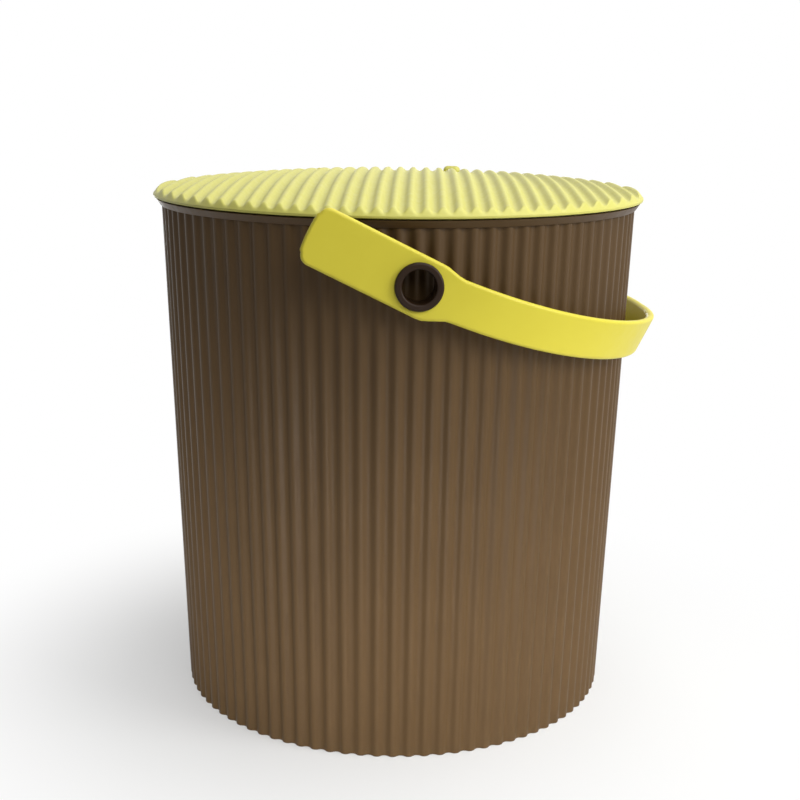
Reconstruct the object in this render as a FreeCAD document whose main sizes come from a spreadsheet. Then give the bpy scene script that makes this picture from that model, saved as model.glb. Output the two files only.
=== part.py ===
import FreeCAD, Part
import math
import os
import Sketcher

# A twenty litre household bucket: a fluted tub, a ribbed lid that drops into its mouth, and a
# strap handle that swings on two flanged eyelets. Millimetres, +Z up, origin at the centre of the
# foot. The pivots lie along the Y axis and the handle hangs towards +X.

SIZES = [
    # Tub
    ("foot_radius", 141.7, "flute crests at the foot"),
    ("mouth_radius", 152.4, "flute crests at the top of the fluted wall"),
    ("fluted_height", 324.5, "top of the fluted wall, hidden inside the rim band"),
    ("flute_count", 90, "upright flutes round the wall"),
    ("flute_depth", 2.0, "crest to valley"),
    ("tub_wall", 2.2, "wall behind the valleys"),
    ("foot_recess", 6.0, "hollow under the floor"),
    ("foot_width", 5.0, "foot ring, from the valleys inwards"),
    ("floor_thickness", 3.0, "floor of the tub"),
    ("floor_cove", 2.0, "sloped corner between floor and wall"),
    ("rim_overhang", 3.6, "top of the smooth rim band past the flute crests"),
    ("rim_taper", 3.0, "how much the band draws in towards its lower edge"),
    ("rim_height", 4.4, "height of the band"),
    ("rim_cover", 1.6, "top of the rim above the fluted wall"),
    ("rim_bevel", 0.7, "bevelled top edge of the band"),
    # Pivots
    ("pivot_drop", 34.5, "from the top of the rim down to the handle's axis"),
    ("eyelet_hole", 9.5, "radius of the eyelet's open middle"),
    ("eyelet_wall", 1.75, "wall of the eyelet's sleeve"),
    ("flange_width", 2.25, "eyelet's flange past its sleeve"),
    ("flange_thickness", 2.2, "eyelet's flange, outside the strap"),
    ("flange_bevel", 1.0, "bevelled outer edge of the flange"),
    ("flange_lead", 1.2, "sloped inner edge of the flange"),
    ("sleeve_end_gap", 0.9, "from the sleeve's inner end to the flute crests behind it"),
    ("sleeve_fit", 0.05, "radial gap between sleeve and boss"),
    ("boss_wall", 3.2, "wall of the hollow boss behind the strap"),
    ("swing_gap", 0.3, "radial gap between strap and sleeve"),
    ("side_play", 0.4, "gap on each side of the strap at the pivots"),
    # Handle, laid out along its tail: along is away from the pivots, up is across the strap
    ("strap_clearance", 3.0, "from the lid's edge to the strap's inner face"),
    ("strap_thickness", 4.5, "thickness of the strap"),
    ("loop_pass", 0.15, "gap between the loop's end and the lid's edge as the handle swings over it"),
    ("loop_flat", 8.5, "half the straight stretch at the loop's end"),
    ("strap_width", 25.0, "width of the loop"),
    ("strap_rise", 1.8, "how far up the loop starts from the tail's middle line"),
    ("loop_slope", 4.9, "degrees that the loop turns up where it starts"),
    ("end_slope", 16.0, "degrees that the loop is turned up at its end"),
    ("sweep_along", 96.0, "where the two slopes would meet"),
    ("sweep_radius", 700.0, "radius of the sweep between the slopes"),
    ("tail_length", 67.0, "from the pivot to the end of the tail"),
    ("tail_width", 33.5, "width of the tail"),
    ("tail_corner", 6.0, "corner radius of the tail's end"),
    ("tail_bow", 1.6, "how far the end of the tail bows out"),
    ("tail_bow_radius", 80.0, "radius of that bow"),
    ("step_start", 9.0, "where the tail starts to narrow"),
    ("step_end", 21.0, "where the loop starts"),
    ("step_round", 11.0, "radius of the narrowing's curves"),
    ("strap_bevel", 1.2, "bevelled long edges of the strap"),
    ("hang_angle", 26.4, "degrees below the horizontal at rest"),
    # Lid
    ("lid_overhang", 1.5, "lid's edge past the rim"),
    ("lid_plate", 2.8, "plate under the valleys of the ribs"),
    ("lid_crown", 10.0, "how far the middle of the lid rises above its edge"),
    ("lid_rib_depth", 2.6, "crest to valley"),
    ("lid_rib_pitch", 9.0, "crest to crest"),
    ("lid_lip", 1.3, "upright lip at the lid's edge"),
    ("lid_bevel", 3.2, "how far the rib ends slope in over their height"),
    ("lid_angle", 5.1, "degrees that the lid is turned in its seat, clockwise from above"),
    ("seat_gap", 0.3, "gap between the seat bead and the rim"),
    ("seat_height", 0.8, "bead under the lid's plate, which keeps its edge off the rim"),
    ("seat_width", 2.5, "width of the bead"),
    ("seat_inset", 3.2, "bead from the outside of the rim"),
    ("skirt_clearance", 0.6, "radial gap between skirt and mouth"),
    ("skirt_depth", 10.0, "plug skirt below the lid"),
    ("skirt_wall", 2.0, "wall of the skirt"),
    ("tab_width", 12.5, "finger tab along the edge"),
    ("tab_depth", 7.5, "finger tab across the edge"),
    ("tab_rise", 4.2, "finger tab above the rib crests at the edge"),
    ("tab_inset", 1.5, "finger tab in from the lid's edge"),
    ("tab_angle", 14.3, "degrees from the ribs' direction to the tab, clockwise from above"),
    ("tab_round", 3.2, "rounded edges of the tab"),
]

X_AXIS = FreeCAD.Vector(1, 0, 0)
Y_AXIS = FreeCAD.Vector(0, 1, 0)
Z_AXIS = FreeCAD.Vector(0, 0, 1)
DOWN = FreeCAD.Vector(0, 0, -1)
ORIGIN = FreeCAD.Vector(0, 0, 0)
UPRIGHT = FreeCAD.Placement(ORIGIN, FreeCAD.Rotation(X_AXIS, 90))

# Places and sizes that several pieces share, as formulas of the driving dimensions
RIM_TOP = "(sizes.fluted_height + sizes.rim_cover)"
RIM_RADIUS = "(sizes.mouth_radius + sizes.rim_overhang)"
LID_BASE = "(%s + sizes.seat_gap + sizes.seat_height)" % RIM_TOP
LID_RADIUS = "(%s + sizes.lid_overhang)" % RIM_RADIUS
LID_CREST = "(sizes.lid_plate + sizes.lid_rib_depth)"
DOME_RADIUS = "((%s^2 + sizes.lid_crown^2) / (2 * sizes.lid_crown))" % LID_RADIUS
DOME_CENTRE = "(sizes.lid_crown - %s)" % DOME_RADIUS
PIVOT_HEIGHT = "(%s - sizes.pivot_drop)" % RIM_TOP
SLEEVE_RADIUS = "(sizes.eyelet_hole + sizes.eyelet_wall)"
SLEEVE_FOOT = "(%s - %s)" % (PIVOT_HEIGHT, SLEEVE_RADIUS)
SLEEVE_HEAD = "(%s + %s)" % (PIVOT_HEIGHT, SLEEVE_RADIUS)
SOCKET_RADIUS = "(%s + sizes.sleeve_fit)" % SLEEVE_RADIUS
STRAP_INNER = "(%s + sizes.strap_clearance)" % LID_RADIUS
STRAP_OUTER = "(%s + sizes.strap_thickness)" % STRAP_INNER
BOSS_FACE = "(%s - sizes.side_play)" % STRAP_INNER

# The loop's end passes over the lid's edge: its lower edge is raised above the pivots, which
# brings its inner face nearer to them for the same distance
SWEEP_UP = "(sizes.strap_rise + (sizes.sweep_along - sizes.step_end) * tan(sizes.loop_slope))"
END_LOWER = (
    "(%s + (%s - sizes.sweep_along) * tan(sizes.end_slope) - sizes.strap_width / 2 / cos(sizes.end_slope))"
    % (SWEEP_UP, LID_RADIUS)
)
LID_EDGE_RISE = "(%s + sizes.lid_lip - %s)" % (LID_BASE, PIVOT_HEIGHT)
EDGE_SWING = "(sqrt(%s^2 + %s^2) + sizes.loop_pass)" % (LID_RADIUS, LID_EDGE_RISE)
STRAP_REACH = "sqrt(%s^2 - %s^2)" % (EDGE_SWING, END_LOWER)
REACH_OUTER = "(%s + sizes.strap_thickness)" % STRAP_REACH
SHARP_EDGE = math.radians(30)
SIDES = {"front": 90, "rear": -90}
FLUTE_FLATS = 8
RIB_FLATS = 6

doc = FreeCAD.newDocument("bucket")
sizes = doc.addObject("Spreadsheet::Sheet", "sizes")
for row, (alias, value, note) in enumerate(SIZES, start=1):
    sizes.set("A%d" % row, alias)
    sizes.set("B%d" % row, str(value))
    sizes.set("C%d" % row, note)
    sizes.setAlias("B%d" % row, alias)
doc.recompute()


def size(alias):
    """Value of one driving dimension."""
    return float(sizes.get(alias))


def add(kind, name, **bindings):
    """New object of the document, with some of its properties tied to the sheet."""
    obj = doc.addObject(kind, name)
    for prop, formula in bindings.items():
        obj.setExpression(prop, formula)
    return obj


# Outlines: closed chains of lines whose corners may be rounded


def corner_marks(sketch, corners):
    """Construction marks tied to the sheet: a point, or a circle where the corner is rounded."""
    for x_formula, y_formula, radius_formula in corners:
        if radius_formula:
            shape = Part.Circle(FreeCAD.Vector(1, 1, 0), Z_AXIS, 1)
            settings = [("Radius", radius_formula)]
            anchor = 3
        else:
            shape = Part.Point(FreeCAD.Vector(1, 1, 0))
            settings = []
            anchor = 1
        mark = sketch.addGeometry(shape, True)
        for kind, formula in settings:
            index = sketch.addConstraint(Sketcher.Constraint(kind, mark, 1.0))
            sketch.setExpression("Constraints[%d]" % index, formula)
        for kind, formula in (("DistanceX", x_formula), ("DistanceY", y_formula)):
            index = sketch.addConstraint(Sketcher.Constraint(kind, -1, 1, mark, anchor, 1.0))
            sketch.setExpression("Constraints[%d]" % index, formula)
    doc.recompute()


def mark_place(mark):
    """Centre and radius of a construction mark."""
    if isinstance(mark, Part.Circle):
        return mark.Center, mark.Radius
    return FreeCAD.Vector(mark.X, mark.Y, 0), 0.0


def outline(sketch, corners):
    """Closed outline through the corners, each (x formula, y formula, radius formula or None)."""
    corner_marks(sketch, corners)
    count = len(corners)
    places = [mark_place(sketch.Geometry[i]) for i in range(count)]
    ahead = [(places[(i + 1) % count][0] - places[i][0]).normalize() for i in range(count)]
    starts = []
    ends = []
    for i, (corner, radius) in enumerate(places):
        turn = ahead[i - 1].getAngle(ahead[i])
        trim = radius * math.tan(turn / 2)
        ends.append(corner - ahead[i - 1] * trim)
        starts.append(corner + ahead[i] * trim)
    lines = []
    for i in range(count):
        lines.append(sketch.addGeometry(Part.LineSegment(starts[i], ends[(i + 1) % count])))
    for i, (corner, radius) in enumerate(places):
        if radius:
            round_corner(sketch, i, lines[i - 1], lines[i], ends[i], starts[i], radius)
        else:
            sketch.addConstraint(Sketcher.Constraint("Coincident", lines[i - 1], 2, i, 1))
            sketch.addConstraint(Sketcher.Constraint("Coincident", lines[i], 1, i, 1))


def round_corner(sketch, mark, line_in, line_out, start, end, radius):
    """Arc tangent to both lines, as large as the corner's construction circle."""
    heading_in = sketch.Geometry[line_in].EndPoint - sketch.Geometry[line_in].StartPoint
    heading_out = sketch.Geometry[line_out].EndPoint - sketch.Geometry[line_out].StartPoint
    turns_left = heading_in.cross(heading_out).z > 0
    side = Z_AXIS.cross(heading_in).normalize() * (1 if turns_left else -1)
    centre = start + side * radius
    first, last = (start, end) if turns_left else (end, start)
    first_angle = math.atan2(first.y - centre.y, first.x - centre.x)
    last_angle = math.atan2(last.y - centre.y, last.x - centre.x)
    circle = Part.Circle(centre, Z_AXIS, radius)
    arc = sketch.addGeometry(Part.ArcOfCircle(circle, first_angle, last_angle))
    joins = (1, 2) if turns_left else (2, 1)
    sketch.addConstraint(Sketcher.Constraint("Tangent", line_in, 2, arc, joins[0]))
    sketch.addConstraint(Sketcher.Constraint("Tangent", arc, joins[1], line_out, 1))
    sketch.addConstraint(Sketcher.Constraint("PointOnObject", mark, 3, line_in))
    sketch.addConstraint(Sketcher.Constraint("PointOnObject", mark, 3, line_out))
    sketch.addConstraint(Sketcher.Constraint("Equal", arc, mark))


def sketch_of(name, corners, placement=None):
    """Free sketch of one outline."""
    sketch = doc.addObject("Sketcher::SketchObject", name)
    outline(sketch, corners)
    sketch.Placement = placement or FreeCAD.Placement()
    return sketch


def turned(name, corners):
    """Solid of revolution about Z from an outline of (radius, height) corners."""
    solid = doc.addObject("Part::Revolution", name)
    solid.Source = sketch_of(name + "_profile", corners, UPRIGHT)
    solid.Axis = Z_AXIS
    solid.Base = ORIGIN
    solid.Angle = 360
    solid.Solid = True
    return solid


def fused(name, shapes):
    """One solid from several."""
    solid = doc.addObject("Part::MultiFuse", name)
    solid.Shapes = shapes
    solid.Refine = False
    return solid


def cut(name, base, tool):
    """Base less tool."""
    solid = doc.addObject("Part::Cut", name)
    solid.Base = base
    solid.Tool = tool
    solid.Refine = False
    return solid


def common(name, base, tool):
    """What base and tool share."""
    solid = doc.addObject("Part::Common", name)
    solid.Base = base
    solid.Tool = tool
    solid.Refine = False
    return solid


def across_tub(obj, angle):
    """Lay an object's Z axis along -Y (angle 90) or +Y (angle -90) at the height of the pivots."""
    obj.Placement = FreeCAD.Placement(ORIGIN, FreeCAD.Rotation(X_AXIS, angle))
    obj.setExpression("Placement.Base.z", PIVOT_HEIGHT)


# Tub


def wave(count, crest, valley):
    """Closed wave round Z with count crests, each drawn with a few flats."""
    middle = (crest + valley) / 2
    points = []
    for step in range(count * FLUTE_FLATS):
        turns = step / FLUTE_FLATS
        radius = middle + (crest - middle) * math.cos(2 * math.pi * turns)
        angle = 2 * math.pi * turns / count
        points.append(FreeCAD.Vector(radius * math.sin(angle), -radius * math.cos(angle), 0))
    return Part.makePolygon(points + points[:1])


def flute_section(name, crest_alias, height_formula):
    """Fluted outline of the wall at one height."""
    crest = size(crest_alias)
    section = doc.addObject("Part::Feature", name)
    section.Shape = wave(round(size("flute_count")), crest, crest - size("flute_depth"))
    section.setExpression("Placement.Base.z", height_formula)
    return section


def crest_radius(height_formula):
    """Formula for the flute crests at a height."""
    return (
        "(sizes.foot_radius + (sizes.mouth_radius - sizes.foot_radius) * (%s) / sizes.fluted_height)"
        % height_formula
    )


def wall_radius(height_formula):
    """Formula for the inner face of the tub's wall at a height."""
    return "%s - sizes.flute_depth - sizes.tub_wall" % crest_radius(height_formula)


def boss(side, angle):
    """Hollow boss on the wall: the flutes run on inside it."""
    barrel_radius = "%s + sizes.boss_wall" % SOCKET_RADIUS
    barrel = add("Part::Cylinder", "boss_barrel_" + side, Radius=barrel_radius, Height=BOSS_FACE)
    socket = add("Part::Cylinder", "boss_socket_" + side, Radius=SOCKET_RADIUS, Height=BOSS_FACE)
    for piece in (barrel, socket):
        across_tub(piece, angle)
    return cut("boss_" + side, barrel, socket)


def make_tub():
    wall = doc.addObject("Part::Loft", "fluted_wall")
    foot = flute_section("flutes_at_foot", "foot_radius", "0")
    top = flute_section("flutes_at_top", "mouth_radius", "sizes.fluted_height")
    wall.Sections = [foot, top]
    wall.Solid = True
    wall.Ruled = True
    rim_inside = "sizes.mouth_radius - sizes.flute_depth - 2 * sizes.tub_wall"
    rim_base = "%s - sizes.rim_height" % RIM_TOP
    rim = turned("rim_band", [
        (rim_inside, rim_base, None),
        (RIM_RADIUS + " - sizes.rim_taper", rim_base, None),
        (RIM_RADIUS, RIM_TOP + " - sizes.rim_bevel", None),
        (RIM_RADIUS + " - sizes.rim_bevel", RIM_TOP, None),
        (rim_inside, RIM_TOP, None),
    ])
    bosses = [boss(side, angle) for side, angle in SIDES.items()]
    body = fused("tub_blank", [wall, rim] + bosses)
    floor = "sizes.foot_recess + sizes.floor_thickness"
    cove_top = floor + " + sizes.floor_cove"
    above = "%s + sizes.skirt_depth" % RIM_TOP
    cavity = turned("cavity", [
        ("0", floor, None),
        (wall_radius(floor) + " - sizes.floor_cove", floor, None),
        (wall_radius(cove_top), cove_top, None),
        (wall_radius(above), above, None),
        ("0", above, None),
    ])
    recess = add("Part::Cylinder", "foot_hollow", Height="sizes.foot_recess")
    recess.setExpression("Radius", "sizes.foot_radius - sizes.flute_depth - sizes.foot_width")
    hollow = fused("tub_hollow", [cavity, recess])
    tub = cut("tub", body, hollow)
    tub.Label = "tub"
    return tub


# Pivot eyelets


def make_eyelet(side, angle):
    """Flanged sleeve that carries the strap and is pressed into its boss."""
    crests = "max(%s; %s)" % (crest_radius(SLEEVE_FOOT), crest_radius(SLEEVE_HEAD))
    inner_end = "%s + sizes.sleeve_end_gap" % crests
    shoulder = "%s + sizes.side_play" % STRAP_OUTER
    face = "%s + sizes.flange_thickness" % shoulder
    flange = "%s + sizes.flange_width" % SLEEVE_RADIUS
    body = doc.addObject("PartDesign::Body", "eyelet_" + side)
    plane = [f for f in body.Origin.OriginFeatures if f.Role == "XZ_Plane"][0]
    sketch = body.newObject("Sketcher::SketchObject", "eyelet_profile_" + side)
    sketch.AttachmentSupport = [(plane, "")]
    sketch.MapMode = "FlatFace"
    outline(sketch, [
        ("sizes.eyelet_hole", inner_end, None),
        (SLEEVE_RADIUS, inner_end, None),
        (SLEEVE_RADIUS, shoulder, None),
        (flange, shoulder, None),
        (flange, face + " - sizes.flange_bevel", None),
        (flange + " - sizes.flange_bevel", face, None),
        ("sizes.eyelet_hole + sizes.flange_lead", face, None),
        ("sizes.eyelet_hole", face + " - sizes.flange_lead", None),
    ])
    revolution = body.newObject("PartDesign::Revolution", "eyelet_turned_" + side)
    revolution.Profile = sketch
    revolution.ReferenceAxis = (sketch, ["V_Axis"])
    revolution.Angle = 360
    body.Tip = revolution
    across_tub(body, angle)
    body.Label = "pivot_ring_" + side
    return body


# Handle


def strap_plan():
    """The U of the strap seen from above, open past the tails."""
    tail_end = "-sizes.tail_length - sizes.strap_width"
    corner = "%s - sizes.loop_flat" % STRAP_INNER
    corner_outer = "%s - sizes.loop_flat" % STRAP_OUTER
    return [
        (tail_end, "-" + STRAP_OUTER, None),
        (REACH_OUTER, "-" + STRAP_OUTER, corner_outer),
        (REACH_OUTER, STRAP_OUTER, corner_outer),
        (tail_end, STRAP_OUTER, None),
        (tail_end, STRAP_INNER, None),
        (STRAP_REACH, STRAP_INNER, corner),
        (STRAP_REACH, "-" + STRAP_INNER, corner),
        (tail_end, "-" + STRAP_INNER, None),
    ]


def strap_edge(sign):
    """Corners of the loop's upper (sign +1) or lower (-1) edge, from the step to past the end."""
    half = "%d * sizes.strap_width / 2" % sign
    mean = "(sizes.loop_slope + sizes.end_slope) / 2"
    bend = "(sizes.end_slope - sizes.loop_slope) / 2"
    past_end = "%s + 2 * sizes.strap_width" % REACH_OUTER
    end_up = "%s + (%s - sizes.sweep_along) * tan(sizes.end_slope)" % (SWEEP_UP, past_end)
    start = (
        "sizes.step_end - %s * sin(sizes.loop_slope)" % half,
        "sizes.strap_rise + %s * cos(sizes.loop_slope)" % half,
        "sizes.step_round",
    )
    turn = (
        "sizes.sweep_along - %s * sin(%s) / cos(%s)" % (half, mean, bend),
        "%s + %s * cos(%s) / cos(%s)" % (SWEEP_UP, half, mean, bend),
        "sizes.sweep_radius - %s" % half,
    )
    end = (past_end, "%s + %s / cos(sizes.end_slope)" % (end_up, half), None)
    return [start, turn, end]


def strap_side():
    """The strap seen from the side: wide bowed tail, narrowing step and upswept loop."""
    half_tail = "sizes.tail_width / 2"
    shoulder = "-sizes.tail_length + sizes.tail_bow"
    tail = [
        (shoulder, half_tail, "sizes.tail_corner"),
        ("-sizes.tail_length", "0", "sizes.tail_bow_radius"),
        (shoulder, "-" + half_tail, "sizes.tail_corner"),
    ]
    lower = [("sizes.step_start", "-" + half_tail, "sizes.step_round")] + strap_edge(-1)
    upper = [("sizes.step_start", half_tail, "sizes.step_round")] + strap_edge(1)
    return tail + lower + upper[::-1]


def extruded(name, sketch, direction, reach_formula):
    """Sketch pushed out both ways along a direction."""
    solid = add("Part::Extrusion", name, LengthFwd=reach_formula, LengthRev=reach_formula)
    solid.Base = sketch
    solid.DirMode = "Custom"
    solid.Dir = direction
    solid.Solid = True
    return solid


def sharp_edges(shape):
    """Numbers of the edges where two faces meet at an angle."""
    found = []
    for number, edge in enumerate(shape.Edges, start=1):
        middle = edge.valueAt((edge.FirstParameter + edge.LastParameter) / 2)
        normals = []
        for face in shape.ancestorsOfType(edge, Part.Face):
            u, v = face.Surface.parameter(middle)
            normals.append(face.normalAt(u, v))
        if len(normals) == 2 and normals[0].getAngle(normals[1]) > SHARP_EDGE:
            found.append(number)
    return found


def trimmed(kind, name, base, edges, width):
    """Base with some of its edges rounded (kind Fillet) or bevelled (kind Chamfer)."""
    solid = doc.addObject("Part::" + kind, name)
    solid.Base = base
    solid.Edges = [(number, width, width) for number in edges]
    return solid


def make_handle():
    side_reach = "%s + sizes.strap_thickness" % STRAP_OUTER
    plan_sketch = sketch_of("strap_plan", strap_plan())
    side_sketch = sketch_of("strap_side", strap_side(), UPRIGHT)
    plan = extruded("strap_from_above", plan_sketch, Z_AXIS, STRAP_REACH)
    side = extruded("strap_from_side", side_sketch, Y_AXIS, side_reach)
    strap = common("strap_blank", plan, side)
    doc.recompute()
    soft = trimmed("Chamfer", "strap_bevelled", strap, sharp_edges(strap.Shape), size("strap_bevel"))
    hole = add("Part::Cylinder", "pivot_holes", Height="2 * (%s)" % side_reach)
    hole.setExpression("Radius", "%s + sizes.swing_gap" % SLEEVE_RADIUS)
    hole.Placement = FreeCAD.Placement(ORIGIN, FreeCAD.Rotation(X_AXIS, 90))
    hole.setExpression("Placement.Base.y", side_reach)
    handle = cut("handle", soft, hole)
    handle.Placement = FreeCAD.Placement(ORIGIN, FreeCAD.Rotation(Y_AXIS, 1))
    handle.setExpression("Placement.Base.z", PIVOT_HEIGHT)
    handle.setExpression("Placement.Rotation.Angle", "sizes.hang_angle")
    handle.Label = "handle"
    return handle


# Lid


def ribbed_strip():
    """Section through the middle of the lid, across its ribs: a wave of flats laid on the crown."""
    pitch = size("lid_rib_pitch")
    lid_radius = size("mouth_radius") + size("rim_overhang") + size("lid_overhang")
    crown = size("lid_crown")
    dome = (lid_radius ** 2 + crown ** 2) / (2 * crown)
    half_count = math.ceil(lid_radius / pitch)
    valley = size("lid_plate")
    crest = valley + size("lid_rib_depth")
    middle = (valley + crest) / 2

    def at(ribs, height):
        across = ribs * pitch
        return FreeCAD.Vector(across, 0, height + crown - dome + math.sqrt(dome ** 2 - across ** 2))

    points = []
    for step in range(-half_count * RIB_FLATS, half_count * RIB_FLATS + 1):
        ribs = step / RIB_FLATS
        points.append(at(ribs, middle + (crest - middle) * math.cos(2 * math.pi * ribs)))
    points.append(at(half_count, -2 * valley))
    points.append(at(-half_count, -2 * valley))
    strip = doc.addObject("Part::Feature", "lid_rib_section")
    strip.Shape = Part.Face(Part.makePolygon(points + points[:1]))
    return strip


def crowned_ribs():
    """The section swung both ways about an axis far below the lid, so that each rib follows the crown."""
    ribs = add("Part::Revolution", "lid_ribs", Angle="3 * asin(%s / %s)" % (LID_RADIUS, DOME_RADIUS))
    ribs.Source = ribbed_strip()
    ribs.Axis = X_AXIS
    ribs.setExpression("Base.z", DOME_CENTRE)
    ribs.Symmetric = True
    ribs.Solid = True
    return ribs


def under_crown(radius_formula):
    """Hollow under the crown, which leaves the plate equally thick all over."""
    dome = add("Part::Sphere", "lid_dome", Radius=DOME_RADIUS)
    dome.setExpression("Placement.Base.z", DOME_CENTRE)
    well = add("Part::Cylinder", "lid_well", Radius=radius_formula)
    well.setExpression("Height", "sizes.lid_crown + sizes.lid_plate")
    well.setExpression("Placement.Base.z", "-sizes.seat_height")
    return common("lid_hollow", well, dome)


def finger_tab():
    """Small raised pad on the lid's edge, to lift it by."""
    pad = add("Part::Box", "tab_block", Length="sizes.tab_width", Width="sizes.tab_depth")
    pad.setExpression("Height", "%s + sizes.tab_rise" % LID_CREST)
    pad.setExpression("Placement.Base.x", "-sizes.tab_width / 2")
    pad.setExpression("Placement.Base.y", "%s - sizes.tab_inset - sizes.tab_depth" % LID_RADIUS)
    doc.recompute()
    tab = trimmed("Fillet", "finger_tab", pad, range(1, len(pad.Shape.Edges) + 1), size("tab_round"))
    tab.Placement = FreeCAD.Placement(ORIGIN, FreeCAD.Rotation(DOWN, 1))
    tab.setExpression("Placement.Rotation.Angle", "sizes.tab_angle")
    return tab


def make_lid():
    over = "(%s + sizes.lid_crown + sizes.lid_plate)" % LID_CREST
    slope_run = "sizes.lid_bevel * (%s - sizes.lid_lip) / (%s - sizes.lid_lip)" % (over, LID_CREST)
    envelope = turned("lid_envelope", [
        ("0", "0", None),
        (LID_RADIUS, "0", None),
        (LID_RADIUS, "sizes.lid_lip", None),
        (LID_RADIUS + " - " + slope_run, over, None),
        ("0", over, None),
    ])
    skirt_foot = "%s - sizes.skirt_depth" % LID_BASE
    skirt_radius = "%s - sizes.skirt_clearance" % wall_radius(skirt_foot)
    inside = "%s - sizes.skirt_wall" % skirt_radius
    plate = cut("lid_plate", common("lid_top", crowned_ribs(), envelope), under_crown(inside))
    root = "sizes.lid_plate / 2"
    skirt = turned("lid_skirt", [
        (inside, "-sizes.skirt_depth", None),
        (skirt_radius, "-sizes.skirt_depth", None),
        (skirt_radius, root, None),
        (inside, root, None),
    ])
    bead_outside = "%s - sizes.seat_inset" % RIM_RADIUS
    bead_inside = "%s - sizes.seat_width" % bead_outside
    bead = turned("lid_seat", [
        (bead_inside, "-sizes.seat_height", None),
        (bead_outside, "-sizes.seat_height", None),
        (bead_outside, root, None),
        (bead_inside, root, None),
    ])
    lid = fused("lid", [plate, skirt, bead, finger_tab()])
    lid.Placement = FreeCAD.Placement(ORIGIN, FreeCAD.Rotation(DOWN, 1))
    lid.setExpression("Placement.Rotation.Angle", "sizes.lid_angle")
    lid.setExpression("Placement.Base.z", LID_BASE)
    lid.Label = "lid"
    return lid


def check_and_write(pieces):
    """Refuse a failed object or a bad solid, then write one file for each piece."""
    doc.recompute()
    for obj in doc.Objects:
        if "Invalid" in obj.State or "Error" in obj.State:
            raise RuntimeError("%s failed: %s" % (obj.Name, obj.State))
    for piece in pieces:
        shape = piece.Shape
        if shape.isNull() or not shape.isValid() or len(shape.Solids) != 1:
            raise RuntimeError("%s is not one valid solid" % piece.Label)
    os.makedirs("parts", exist_ok=True)
    for piece in pieces:
        piece.Shape.exportStep(os.path.join("parts", piece.Label + ".step"))
        box = piece.Shape.BoundBox
        print(piece.Label, round(piece.Shape.Volume), [round(v, 2) for v in (
            box.XMin, box.XMax, box.YMin, box.YMax, box.ZMin, box.ZMax)])


PIECES = [make_tub(), make_lid(), make_handle()]
PIECES += [make_eyelet(side, angle) for side, angle in SIDES.items()]
check_and_write(PIECES)
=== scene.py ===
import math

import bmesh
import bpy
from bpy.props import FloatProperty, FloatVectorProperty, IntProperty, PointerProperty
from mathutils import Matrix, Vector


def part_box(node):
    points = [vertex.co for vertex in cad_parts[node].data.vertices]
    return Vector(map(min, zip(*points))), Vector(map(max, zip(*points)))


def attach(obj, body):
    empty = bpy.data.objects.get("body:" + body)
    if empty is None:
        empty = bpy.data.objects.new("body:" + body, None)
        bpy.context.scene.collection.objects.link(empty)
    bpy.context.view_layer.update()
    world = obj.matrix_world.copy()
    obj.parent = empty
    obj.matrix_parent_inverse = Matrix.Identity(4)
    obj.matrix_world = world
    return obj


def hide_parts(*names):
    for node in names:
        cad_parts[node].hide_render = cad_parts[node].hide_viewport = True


bl_info = {
    "name": "Fluted Bucket",
    "version": (1, 0, 0),
    "blender": (4, 5, 0),
    "location": "View3D > Sidebar > Bucket",
    "description": "Models a fluted household bucket, its ribbed lid and its strap handle round their frame",
    "category": "Object",
}

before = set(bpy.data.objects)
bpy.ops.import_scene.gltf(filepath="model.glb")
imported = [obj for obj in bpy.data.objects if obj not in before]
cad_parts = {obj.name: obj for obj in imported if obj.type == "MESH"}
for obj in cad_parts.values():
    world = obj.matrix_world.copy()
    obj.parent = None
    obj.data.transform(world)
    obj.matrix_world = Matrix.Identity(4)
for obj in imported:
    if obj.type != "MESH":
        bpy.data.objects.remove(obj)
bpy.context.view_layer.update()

# One millimetre, in the metres that every length below is kept in
MM = 0.001

# Places that come from the frame
RIM_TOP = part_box("tub")[1].z
BOSS_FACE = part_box("tub")[1].y
LID_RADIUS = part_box("lid")[1].y
LID_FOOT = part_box("lid")[0].z
STRAP_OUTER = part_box("handle")[1].y
RING_LOW, RING_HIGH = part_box("pivot_ring_rear")
PIVOT_HEIGHT = (RING_LOW.z + RING_HIGH.z) / 2

SIDES = {"front": math.radians(90), "rear": math.radians(-90)}
TINY = 0.001 * MM


def linear(hex_colour):
    """Linear red, green and blue of an sRGB hex value such as #6B5540."""
    channels = [int(hex_colour[i:i + 2], 16) / 255 for i in (1, 3, 5)]
    return tuple(c / 12.92 if c <= 0.04045 else ((c + 0.055) / 1.055) ** 2.4 for c in channels)


def length(name, description, millimetres):
    """A size that the user may change."""
    return FloatProperty(name=name, description=description, default=millimetres * MM, min=0.0, unit="LENGTH")


def colour(name, description, hex_colour):
    """A colour that the user may change."""
    return FloatVectorProperty(
        name=name, description=description, default=linear(hex_colour), min=0.0, max=1.0, subtype="COLOR")


def angle(name, description, degrees):
    """An angle that the user may change."""
    return FloatProperty(name=name, description=description, default=math.radians(degrees), unit="ROTATION")


# Settings that the sidebar shows


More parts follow.
